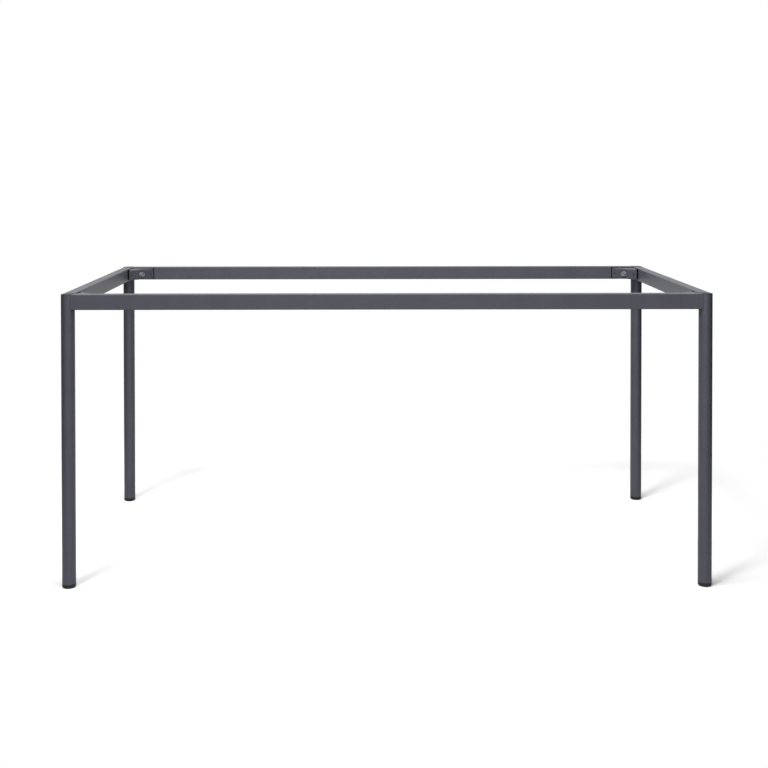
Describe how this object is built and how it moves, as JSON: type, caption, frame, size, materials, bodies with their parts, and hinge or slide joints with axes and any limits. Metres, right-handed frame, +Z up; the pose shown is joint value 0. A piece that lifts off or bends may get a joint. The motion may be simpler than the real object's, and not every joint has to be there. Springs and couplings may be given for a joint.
{
  "type": "table frame",
  "caption": "Rectangular steel table frame: round legs bolted into the corners of a ring of rectangular tube rails, with plastic feet and an open top for a tabletop.",
  "frame": {"origin": "on the floor, below the middle of the frame", "axes": "+Z up; X along the long rails; Y along the short rails, the front at -Y"},
  "size_m": [1.6, 0.8, 0.722],
  "materials": {
    "frame_coat": "satin",
    "plug_plastic": "matte",
    "zinc_steel": "bright zinc plated"
  },
  "bodies": {
    "root": {"rail_front": "frame_coat", "rail_rear": "frame_coat", "rail_left": "frame_coat", "rail_right": "frame_coat", "leg_front_left": "frame_coat", "leg_front_right": "frame_coat", "leg_rear_right": "frame_coat", "leg_rear_left": "frame_coat", "bracket_front_left": "frame_coat", "bracket_front_right": "frame_coat", "bracket_rear_right": "frame_coat", "bracket_rear_left": "frame_coat", "foot_front_left": "plug_plastic", "foot_front_right": "plug_plastic", "foot_rear_right": "plug_plastic", "foot_rear_left": "plug_plastic", "cap_front_left": "plug_plastic", "cap_front_right": "plug_plastic", "cap_rear_right": "plug_plastic", "cap_rear_left": "plug_plastic", "bolt_front_left": "zinc_steel", "bolt_front_right": "zinc_steel", "bolt_rear_right": "zinc_steel", "bolt_rear_left": "zinc_steel", "flat_washer_front_left": "zinc_steel", "flat_washer_front_right": "zinc_steel", "flat_washer_rear_right": "zinc_steel", "flat_washer_rear_left": "zinc_steel", "spring_washer_front_left": "zinc_steel", "spring_washer_front_right": "zinc_steel", "spring_washer_rear_right": "zinc_steel", "spring_washer_rear_left": "zinc_steel", "insert_front_left": "zinc_steel", "insert_front_right": "zinc_steel", "insert_rear_right": "zinc_steel", "insert_rear_left": "zinc_steel"}
  },
  "joints": []
}
